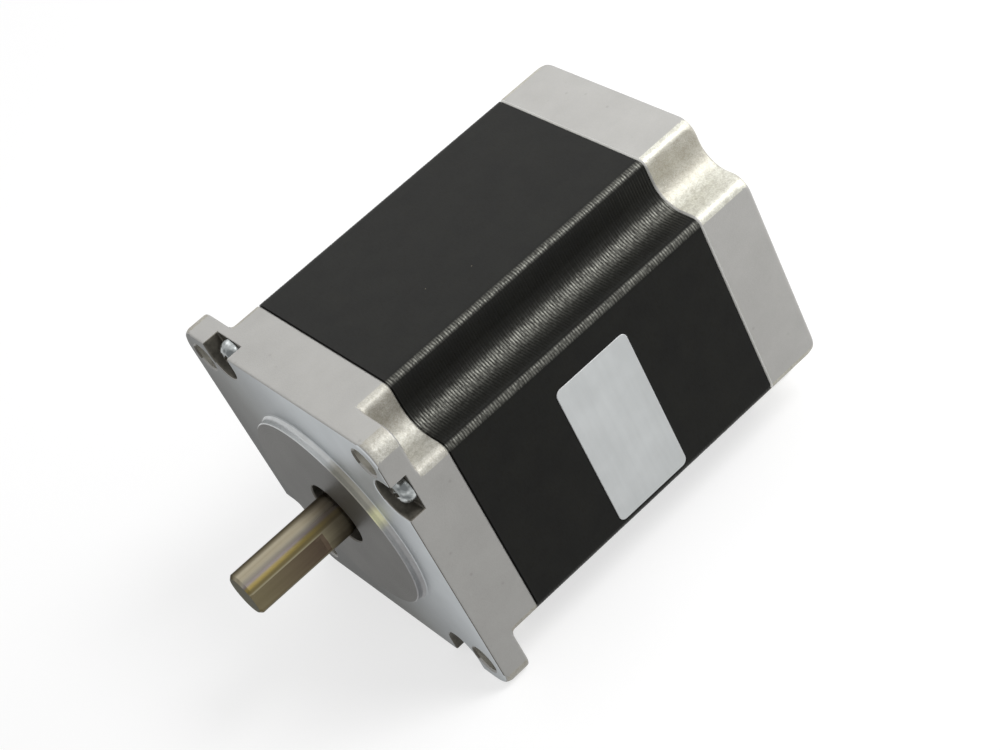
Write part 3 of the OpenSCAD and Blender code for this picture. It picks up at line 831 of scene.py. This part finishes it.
def pilot_solid():
    """Pilot with a chamfered rim and a fillet at its root."""
    root, chamfer, slope = 0.85, 0.14, 0.002
    profile = [(PILOT_R - chamfer, -PILOT_H), (PILOT_R, chamfer - PILOT_H)]
    for i in range(9):
        a = math.radians(11.25 * i)
        profile.append((PILOT_R + root - root * math.cos(a), -root + root * math.sin(a) + slope * i))
    profile.append((PILOT_R + root, 1.0))
    return revolve("pilot", profile, 128)


def front_space():
    """Shaft hole, bearing seat and cavity of the front cover."""
    return revolve("space", [
        (SHAFT_HOLE_R + 1.2, -PILOT_H - 1), (SHAFT_HOLE_R, 0.2 - PILOT_H), (SHAFT_HOLE_R, LIP_Y),
        (LIP_R, LIP_Y), (LIP_R, FRONT_BEARING_Y), (SEAT_R, FRONT_BEARING_Y), (SEAT_R, FRONT_HUB_Y),
        (HUB_R, FRONT_HUB_Y), (HUB_R, FRONT_CAVITY_Y), (CAVITY_R, FRONT_CAVITY_Y), (CAVITY_R, FRONT_L + 1)])


def front_cover_piece():
    cover = flange_solid()
    combine(cover, front_body(), "UNION")
    combine(cover, pilot_solid(), "UNION")
    combine(cover, front_space(), "DIFFERENCE")
    screw_holes = screw_hole_cutter(SCREW_HOLE_R, -1, FRONT_L + 1)
    for make in (pocket_cutter, mouth_cutter, hole_cutter, screw_holes):
        combine(cover, quarter_cutters(make), "DIFFERENCE")
    place(cover, "housing", "front_cover",
          ("cast", "machined", "recess", "skin", "drilled", "wall"), front_cover_face)


def front_cover_face(at, normal):
    """Material of a face of the front cover. Painted shade: the edges beside the front face are as dark as a
    recess.
    """
    shaded_side_edge = abs(normal.x) > 0.6 and normal.y < -0.6 and 0 < at.y < 0.16
    if shaded_side_edge or in_recess(at, normal):
        return "recess"
    if in_mounting_hole(at):
        return "drilled"
    if at.y < FLANGE_T and in_corner(at, HALF - FLANGE_CORNER_R) and abs(normal.y) < 0.5:
        return "skin"
    if at.y > FLANGE_T and in_corner(at, NOTCH_WALL - EDGE_R):
        return "skin"
    if at.y < -TOUCH and normal.y > -0.85 and math.hypot(at.x, at.z) > PILOT_R - 0.13:
        return "wall"
    if normal.y < -0.85 and at.y < 0.5:
        return "machined"
    return "cast"


def in_corner(at, reach):
    return min(abs(at.x), abs(at.z)) > reach + TOUCH


def in_recess(at, normal):
    """Whether a face with this centre and normal lies inside a pocket or the shaft hole."""
    if math.hypot(at.x, at.z) < SHAFT_HOLE_R + 0.18 and TOUCH - PILOT_H < at.y < FLANGE_T:
        return abs(normal.y) < 0.8
    if not 0.12 < at.y < POCKET_DEPTH + TOUCH:
        return False
    wall = POCKET_R + 0.1
    x, z = at.x, at.z
    for _ in range(4):
        out = x - SCREW_X - POCKET_SHIFT
        side = abs(z - SCREW_Z)
        if side < wall and x < HALF - TOUCH and (out > 0 or math.hypot(out, side) < wall):
            return True
        x, z = z, -x
    return False


def in_mounting_hole(at):
    away = math.hypot(abs(at.x) - HOLE_AT, abs(at.z) - HOLE_AT)
    return away < HOLE_R + 0.05 and TOUCH < at.y < FLANGE_T


def rear_ease(y):
    """What the rounded corners of the side faces add to the edge radius near the rear end."""
    along = min(max(0.0, y - REAR_Y + REAR_CORNER_R) / REAR_CORNER_R, 0.97)
    return REAR_CORNER_R * (1 - math.sqrt(1 - along * along))


def rear_cover_solid():
    stops = [(STATOR_Y1, REAR_CHAMFER), (STATOR_Y1 + REAR_CHAMFER, 0.0)]
    stops += [(REAR_Y - REAR_CORNER_R * (1 - share), 0.0) for share in (0.0, 0.15, 0.3, 0.45, 0.6)]
    stops += rounding(REAR_Y, 1, REAR_RIM_R)
    return loft("rear_cover_piece", [along_y(notched(d, 0.0, rear_ease(y)), y) for y, d in stops])


def rear_cover_piece():
    cover = rear_cover_solid()
    space = [(CAVITY_R, STATOR_Y1 - 1), (CAVITY_R, REAR_CAVITY_Y), (HUB_R, REAR_CAVITY_Y),
             (HUB_R, REAR_HUB_Y), (SEAT_R, REAR_HUB_Y), (SEAT_R, SEAT_END_Y)]
    combine(cover, revolve("space", space), "DIFFERENCE")
    start = STATOR_Y1 - 1
    side = GROMMET_W / 2 + GROMMET_GAP
    top = STATOR_Y1 + GROMMET_H + GROMMET_GAP
    window = box_object("window", (-HALF - 1, start, -side), (1 - CAVITY_R, top, side))
    combine(cover, window, "DIFFERENCE")
    combine(cover, grommet_rib(start, GROMMET_GAP), "DIFFERENCE")
    screw_holes = screw_hole_cutter(REAR_SCREW_HOLE_R, STATOR_Y1 - 1, REAR_Y, 0.35)
    combine(cover, quarter_cutters(screw_holes), "DIFFERENCE")
    place(cover, "housing", "rear_cover", ("cast_rear", "skin_rear", "cast_rim"),
          rear_cover_face)


def rear_cover_face(at, normal):
    # Painted highlight: the rear cover's front chamfer gets a much lighter copy of the cast metal.
    if -0.9 < normal.y < -0.5 and at.y < STATOR_Y1 + REAR_CHAMFER:
        return "cast_rim"
    if in_corner(at, NOTCH_WALL - EDGE_R) and abs(normal.y) < 0.9:
        return "skin_rear"
    return "cast_rear"


def box_object(name, lo, hi):
    rings = []
    for x in (lo[0], hi[0]):
        rings.append([(x, lo[1], lo[2]), (x, hi[1], lo[2]), (x, hi[1], hi[2]), (x, lo[1], hi[2])])
    return loft(name, rings)


def polar(r, a):
    return (r * math.cos(math.radians(a)), r * math.sin(math.radians(a)))


def neck_angle(r):
    return math.degrees(math.asin(NECK_HALF / r))


def stator_hole():
    """Outline of the bore with its teeth and the winding slots."""
    pitch = 360 / POLES
    span = (POLE_TEETH - 1) * TOOTH_PITCH + TOOTH_A
    pts = []
    for k in range(POLES):
        c = k * pitch
        for i in range(POLE_TEETH):
            a = c - span / 2 + i * TOOTH_PITCH
            pts += [polar(BORE_R, a), polar(BORE_R, a + TOOTH_A)]
            if i < POLE_TEETH - 1:
                pts += [polar(TOOTH_ROOT_R, a + TOOTH_A), polar(TOOTH_ROOT_R, a + TOOTH_PITCH)]
        pts += [polar(SHOE_EDGE_R, c + span / 2), polar(SHOE_R, c + neck_angle(SHOE_R))]
        pts += arc(0, 0, SLOT_R, c + neck_angle(SLOT_R), c + pitch - neck_angle(SLOT_R), 12)
        pts += [polar(SHOE_R, c + pitch - neck_angle(SHOE_R)), polar(SHOE_EDGE_R, c + pitch - span / 2)]
    return pts


def stack_ring(inset, rim=0.0):
    """Outline of one sheet. The inset acts on the rounded parts, and rim all round."""
    plain, share = notched_quadrant(rim)
    drawn_in = notched_quadrant(inset + rim)[0]
    pts = []
    for (x0, z0), (x1, z1), s in zip(plain, drawn_in, share):
        pts.append((x0 + (x1 - x0) * s, z0 + (z1 - z0) * s))
    return quarter_turns(pts)


def stack_rings():
    """Rings of the stack's side: a groove between two sheets, and each sheet drawn in at random."""
    shoulder = SHEET_PITCH * 0.3
    end = stack_ring(0.0, END_STEP)
    rings = [along_y(end, STATOR_Y0), along_y(end, STATOR_Y0 + END_STEP_L * 0.9)]
    for k in range(SHEETS):
        y = STATOR_Y0 + k * SHEET_PITCH
        shift = SHEET_SHIFT * RNG.random()
        if k > 0:
            rings.append(along_y(stack_ring(SHEET_GROOVE + shift), y))
        before = shoulder if k > 0 else END_STEP_L
        after = shoulder if k < SHEETS - 1 else END_STEP_L
        rings.append(along_y(stack_ring(shift), y + before))
        rings.append(along_y(stack_ring(shift), y + SHEET_PITCH - after))
    return rings + [along_y(end, STATOR_Y1 - END_STEP_L * 0.9), along_y(end, STATOR_Y1)]


def end_face(outer, holes, y):
    """Flat face at y inside an outline, with holes in it."""
    loops = [[Vector((x, z, 0)) for x, z in loop] for loop in [outer] + holes]
    flat = [v for loop in loops for v in loop]
    faces = [tuple(t) for t in tessellate_polygon(loops)]
    return new_object(f"end_{y}", [(v.x, y, v.y) for v in flat], faces)


def stator_piece():
    skin = loft("stator_piece", stack_rings(), caps=False)
    holes = [stator_hole()] + [circle_pts(SCREW_HOLE_R, 24, *screw_at(k)) for k in range(4)]
    bores = [loft("bore", [along_y(h, STATOR_Y0), along_y(h, STATOR_Y1)], caps=False) for h in holes]
    ends = [end_face(stack_ring(0.0, END_STEP), holes, y) for y in (STATOR_Y0, STATOR_Y1)]
    stator = joined([skin] + bores + ends)
    with_bmesh(stator, lambda bm: bmesh.ops.remove_doubles(bm, verts=bm.verts, dist=WELD))
    outward(stator)
    place(stator, "housing", "stator_core", ("stack", "stack_edge"),
          lambda at, normal: "stack_edge" if in_corner(at, NOTCH_WALL - EDGE_R) else "stack")


def shaft_ring(r, flat_x, y):
    """Ring of the shaft, cut by its flat at flat_x, with the flat's edges eased a little."""
    half_a = math.degrees(math.acos(FLAT_X / SHAFT_R))
    ease = 1.2
    angles = [half_a + ease + (360 - 2 * half_a - 2 * ease) * i / 100 for i in range(101)]
    angles += [-half_a + 2 * half_a * i / 10 for i in range(11)]
    pts = []
    for a in angles:
        x, z = polar(r, a)
        pts.append((min(x, flat_x), y, z))
    return pts


def shaft_stops():
    """Rings of the shaft from its tip on: radius, y, and where the flat cuts them."""
    c = SHAFT_CHAMFER
    tip = -SHAFT_REACH
    cut, whole = FLAT_X, 99.0
    stops = [(SHAFT_R - c - 0.08, tip, cut), (SHAFT_R - c + 0.04, tip + 0.04, cut),
             (SHAFT_R - 0.06, tip + c - 0.04, cut), (SHAFT_R, tip + c + 0.06, cut)]
    stops += [(SHAFT_R, tip + c + 0.1 + (FLAT_END_Y - 0.5 - tip - c) * i / 12, cut) for i in range(13)]
    stops += [(SHAFT_R, FLAT_END_Y, FLAT_X + 0.22)]
    uncut = [(SHAFT_R, FLAT_END_Y + 0.25), (SHAFT_R, FLAT_END_Y + 0.4),
             (SHAFT_R, RELIEF_Y0), (RELIEF_R, RELIEF_Y0 + 0.1),
             (RELIEF_R, RELIEF_Y1 - 0.1), (SHAFT_R, RELIEF_Y1),
             (SHAFT_R, CORE_Y0 - 0.01), (CORE_R - 0.2, CORE_Y0), (CORE_R, CORE_Y0 + 0.2),
             (CORE_R, CORE_Y1 - 0.2), (CORE_R - 0.2, CORE_Y1), (SHAFT_R, CORE_Y1 + 0.01),
             (SHAFT_R, SHAFT_END_Y - c), (SHAFT_R - c, SHAFT_END_Y)]
    return stops + [(r, y, whole) for r, y in uncut]


def shaft_piece():
    shaft = loft("shaft_piece", [shaft_ring(r, flat, y) for r, y, flat in shaft_stops()])
    place(shaft, "rotor", "shaft", ("steel", "flat", "end"), shaft_face, 25)


def shaft_face(at, normal):
    if at.y < 0.03 - SHAFT_REACH:
        return "end"
    if normal.x > 0.5 and at.x < SHAFT_R - TOUCH and abs(at.z) < 1.9 and at.y < FLAT_END_Y + 0.3:
        return "flat"
    return "steel"


def cross_section(arm, width, turn):
    """Cross of four arms, turned by an angle."""
    w = width / 2
    c, s = math.cos(turn), math.sin(turn)
    return [(x * c - z * s, x * s + z * c) for x, z in quarter_turns([(arm, -w), (arm, w), (w, w)])]


def cross_cutter(x, z, top, turn):
    """Cross recess of a screw head, narrower towards its floor."""
    rings = []
    for y, arm, width in ((top - 0.3, CROSS_ARM + 0.1, 1.0), (top + 0.35, CROSS_ARM - 0.15, 0.8),
                          (top + CROSS_DEPTH, 0.5, 0.44)):
        rings.append([(px + x, y, pz + z) for px, pz in cross_section(arm, width, turn)])
    return loft("cross", rings)


def screw_solid(k):
    """A pan head with a rounded rim and a cross recess on a threaded shank."""
    x, z = screw_at(k)
    turn = math.radians(18 + 31 * k)
    top = POCKET_DEPTH - HEAD_H
    thread_y = POCKET_DEPTH + SCREW_L - THREAD_L
    rim, crown, edge = 1.6, 0.25, 0.12
    inner = HEAD_R - rim
    profile = [(0.3, top), (inner * 0.5, top + crown * 0.25)]
    for i in range(13):
        a = math.radians(7.5 * i)
        profile.append((inner + rim * math.sin(a), top + crown + rim * (1 - math.cos(a))))
    profile += [(HEAD_R, POCKET_DEPTH - edge), (HEAD_R - edge, POCKET_DEPTH), (SCREW_R, POCKET_DEPTH),
                (SCREW_R, thread_y)]
    head = revolve(f"screw_{k}", profile, 64, x, z)
    combine(head, cross_cutter(x, z, top, turn), "DIFFERENCE")
    return joined([head, thread(x, z, thread_y, POCKET_DEPTH + SCREW_L)])


def thread(x, z, y0, y1):
    """Helical thread between two places, with a tapered tip."""
    pitch, depth, around, per_turn = 0.5, 0.27, 24, 6
    tip_l, tip_r, crest = 0.6, 0.4, 1.3
    count = int((y1 - y0) / pitch * per_turn)
    rings = []
    for j in range(count + 1):
        y = y0 + (y1 - y0) * j / count
        taper = max(0.0, (y - y1 + tip_l) / tip_l) * tip_r
        ring = []
        for i in range(around):
            phase = ((y - y0) / pitch - i / around) % 1.0
            ridge = 1 - abs(2 * phase - 1)
            r = SCREW_R - depth * min(1.0, ridge * crest) - taper
            a = 2 * math.pi * i / around
            ring.append((x + r * math.cos(a), y, z + r * math.sin(a)))
        rings.append(ring)
    return loft("thread", rings)


def screws_piece():
    screws = joined([screw_solid(k) for k in range(4)])
    screws.name = "screws_piece"
    place(screws, "housing", "assembly_screws", ("zinc", "recess"), screw_face, 40)


def screw_face(at, normal):
    """Material of a face of the screws: painted shade in the cross recess."""
    floor_y = POCKET_DEPTH - HEAD_H + CROSS_DEPTH + 0.1
    if abs(normal.y) < 0.8 and at.y < floor_y:
        for x, z in map(screw_at, range(4)):
            if math.hypot(at.x - x, at.z - z) < CROSS_ARM:
                return "recess"
    return "zinc"


def label_piece():
    lo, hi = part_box("label")
    lo, hi = lo / MM, hi / MM
    cy, cz = (lo.y + hi.y) / 2, (lo.z + hi.z) / 2
    hw, hh = (hi.y - lo.y) / 2, (hi.z - lo.z) / 2
    r = 1.2
    t = hi.x - lo.x

    def outline(x, d):
        pts = []
        for sx, sz, a0 in ((1, 1, 0), (-1, 1, 90), (-1, -1, 180), (1, -1, 270)):
            for y, z in arc(sx * (hw - r), sz * (hh - r), r - d, a0, a0 + 90, 8):
                pts.append((x, cy + y, cz + z))
        return pts

    rings = [outline(lo.x, 0.0), outline(lo.x + t * 0.6, 0.0), outline(hi.x, 0.06), outline(hi.x, 0.3)]
    place(loft("label_piece", rings), "housing", "label", ("label", "label_edge"),
          lambda at, normal: "label_edge" if normal.x < 0.98 else "label")


def grommet_rib(y0, grow):
    """Rib around the grommet from y0 on, drawn out by grow."""
    x = -(HALF + CAVITY_R) / 2
    half_t = GROMMET_RIB_T / 2 + grow
    side = GROMMET_W / 2 + GROMMET_RIB + grow
    top = STATOR_Y1 + GROMMET_H + GROMMET_RIB + grow
    return box_object("rib", (x - half_t, y0, -side), (x + half_t, top, side))


def grommet_piece():
    y1 = STATOR_Y1 + GROMMET_H
    w = GROMMET_W / 2

    def ring(x, d):
        corner = 0.6
        pts = []
        for cy, cz, a0 in ((y1 - corner, w - corner, 0), (STATOR_Y1 + corner, w - corner, 90),
                           (STATOR_Y1 + corner, corner - w, 180), (y1 - corner, corner - w, 270)):
            pts += [(x, y, z) for y, z in arc(cy, cz, corner - d, a0, a0 + 90, 5)]
        return pts

    stops = [(-CAVITY_R, 0.0), (-HALF + 0.4, 0.0), (-HALF + 0.12, 0.12), (-HALF, 0.4)]
    block = loft("grommet_piece", [ring(x, d) for x, d in stops])
    combine(block, grommet_rib(STATOR_Y1, 0.0), "UNION")
    row = GROMMET_W - 4 * LEAD_R
    y = STATOR_Y1 + GROMMET_H / 2
    stops = [(-HALF - 0.5, LEAD_R + 0.7), (-HALF + 0.2, LEAD_R), (-CAVITY_R + 1, LEAD_R)]
    for k in range(LEAD_COUNT):
        z = (k / (LEAD_COUNT - 1) - 0.5) * row
        rings = [[(x, y + a, z + b) for a, b in circle_pts(r, 32)] for x, r in stops]
        combine(block, loft("lead_hole", rings), "DIFFERENCE")
    place(block, "housing", "lead_grommet", ("rubber",))


MATERIALS = {
    "cast": cast_metal("cast_metal", (164, 163, 160), (170, 169, 166)),
    # Painted highlight for the rear cover's front chamfer.
    "cast_rim": cast_metal("cast_metal_rim_highlight", (242, 241, 236), (250, 249, 245)),
    # Painted light: the rear cover's cast metal is drawn lighter than the front's, as if lit more.
    "cast_rear": cast_metal("cast_metal_rear_lit", (172, 171, 168), (179, 178, 175)),
    "skin": cast_skin("cast_skin", ((152, 148, 139), (165, 162, 154), (178, 175, 167)),
                      (208, 207, 200), 0.7, 0.44, 0.0),
    # Painted light: the rear skin is drawn lighter than the front's, with its painted notch highlight moved
    # 2.8 mm.
    "skin_rear": cast_skin("cast_skin_rear", ((169, 165, 154), (179, 176, 166), (190, 187, 178)),
                           (225, 225, 216), 0.9, 0.4, 2.8),
    "machined": machined_metal(),
    "recess": recess_metal(),
    "drilled": drilled_metal(),
    "wall": turned_wall(),
    "stack": lacquer("lacquered_stack", False),
    "stack_edge": lacquer("lacquered_edge", True),
    "steel": ground_steel(),
    "flat": milled_flat(),
    "end": sawn_end(),
    "zinc": zinc_plate(),
    "label": label_foil(),
    "label_edge": label_edge(),
    "rubber": simple("black_rubber", (26, 26, 27), (38, 38, 39), 3000, 0.0, (0.5, 0.7), 0.00003),
}
INNER = {
    "rotor_steel": simple("rotor_steel", (96, 97, 100), (140, 141, 144), 1400, 1.0, (0.32, 0.5), 0.00002,
                          (200, 4200, 200)),
    "magnet": simple("magnet", (62, 63, 66), (88, 89, 92), 2200, 0.7, (0.4, 0.6)),
    "spacer_brass": simple("spacer_brass", (168, 132, 66), (200, 166, 92), 1500, 1.0, (0.28, 0.42)),
    "bearing_steel": simple("bearing_steel", (150, 152, 155), (186, 188, 190), 2400, 1.0, (0.16, 0.28),
                            0.000008),
    "cage_steel": simple("cage_steel", (140, 128, 104), (172, 158, 128), 1800, 1.0, (0.3, 0.45)),
    "spring_steel": simple("spring_steel", (104, 108, 116), (142, 146, 154), 1600, 1.0, (0.24, 0.38)),
    "moulded_insulator": simple("moulded_insulator", (214, 206, 184), (232, 226, 208), 1100, 0.0,
                                (0.35, 0.5)),
    "board": simple("board", (38, 84, 52), (58, 110, 70), 1300, 0.0, (0.3, 0.45)),
    "copper_winding": copper_winding(),
}


def dress_inner_nodes():
    """Gives every CAD node that stays in view its own material, by the record's slots."""
    slots = {p["node"]: p["material_slot"] for p in frame["record"]["subparts"]}
    for name, obj in frame["nodes"].items():
        material = INNER.get(slots.get(name))
        if material:
            obj.data.materials.clear()
            obj.data.materials.append(material)


# Stage

def light_path_white(tree, plain, bright):
    """Value that is bright for rays that come from the camera straight, by gloss or through glass."""
    rays = tree.nodes.new("ShaderNodeLightPath").outputs
    total = rays["Is Camera Ray"]
    for name in ("Is Glossy Ray", "Is Transmission Ray"):
        add = tree.nodes.new("ShaderNodeMath")
        add.operation = "MAXIMUM"
        tree.links.new(total, add.inputs[0])
        tree.links.new(rays[name], add.inputs[1])
        total = add.outputs[0]
    span = tree.nodes.new("ShaderNodeMapRange")
    tree.links.new(total, span.inputs["Value"])
    span.inputs["To Min"].default_value = plain
    span.inputs["To Max"].default_value = bright
    return span.outputs["Result"]


def make_world():
    world = bpy.data.worlds.new("studio")
    bpy.context.scene.world = world
    world.use_nodes = True
    background = world.node_tree.nodes["Background"]
    background.inputs["Color"].default_value = (1, 1, 1, 1)
    strength = light_path_white(world.node_tree, *WORLD_LIGHT)
    world.node_tree.links.new(strength, background.inputs["Strength"])


def make_floor():
    z = CAD_BOX[0].z - FLOOR_GAP
    size = FLOOR_SIZE
    verts = [(-size, -size, z), (size, -size, z), (size, size, z), (-size, size, z)]
    floor = new_object("floor", verts, [(0, 1, 2, 3)])
    s = Shader("floor_white", Roughness=0.9, Specular_IOR_Level=0.0)
    tone = light_path_white(s.tree, *FLOOR_TONE)
    glow = light_path_white(s.tree, *FLOOR_GLOW)
    grey = s.node("ShaderNodeCombineColor", Red=tone, Green=tone, Blue=tone)
    s.set(Base_Color=grey.outputs["Color"], Emission_Color=(1.0, 1.0, 1.0, 1.0), Emission_Strength=glow)
    floor.data.materials.append(s.mat)


def make_light(name, direction, distance, size, power):
    """Round lamp that shines on the middle of the body from a direction."""
    data = bpy.data.lights.new(name, "AREA")
    data.shape = "DISK"
    data.size = size
    data.energy = power
    lamp = bpy.data.objects.new(name, data)
    bpy.context.scene.collection.objects.link(lamp)
    way = Vector(direction).normalized()
    centre = Vector((0.0, BODY_MIDDLE_Y, 0.0)) * MM
    lamp.location = centre + way * distance
    lamp.rotation_mode = "QUATERNION"
    lamp.rotation_quaternion = (-way).to_track_quat("-Z", "Y")


def make_camera():
    """Camera at the photograph's viewing angle: it circles the motor's middle and rolls."""
    az, el, roll = [math.radians(a) for a in (AZIMUTH, ELEVATION, ROLL)]
    back = Vector((math.sin(az) * math.cos(el), -math.cos(az) * math.cos(el), math.sin(el)))
    level = Vector((math.cos(az), math.sin(az), 0.0))
    up = back.cross(level)
    right = level * math.cos(roll) + up * math.sin(roll)
    top = up * math.cos(roll) - level * math.sin(roll)
    data = bpy.data.cameras.new("camera")
    data.lens = LENS
    data.sensor_width = SENSOR_W
    data.clip_start = 0.01
    data.clip_end = 10.0
    camera = bpy.data.objects.new("camera", data)
    bpy.context.scene.collection.objects.link(camera)
    target = Vector((0.0, BODY_MIDDLE_Y * MM, 0.0)) + right * (AIM_RIGHT * MM) + top * (AIM_UP * MM)
    axes = Matrix((right, top, back)).transposed()
    camera.matrix_world = Matrix.Translation(target + back * (DISTANCE * MM)) @ axes.to_4x4()
    bpy.context.scene.camera = camera


def set_view():
    bpy.context.scene.view_settings.view_transform = "Standard"


make_camera()
front_cover_piece()
stator_piece()
rear_cover_piece()
shaft_piece()
screws_piece()
label_piece()
grommet_piece()
dress_inner_nodes()
make_world()
make_floor()
for lamp in LAMPS:
    make_light(*lamp)
set_view()
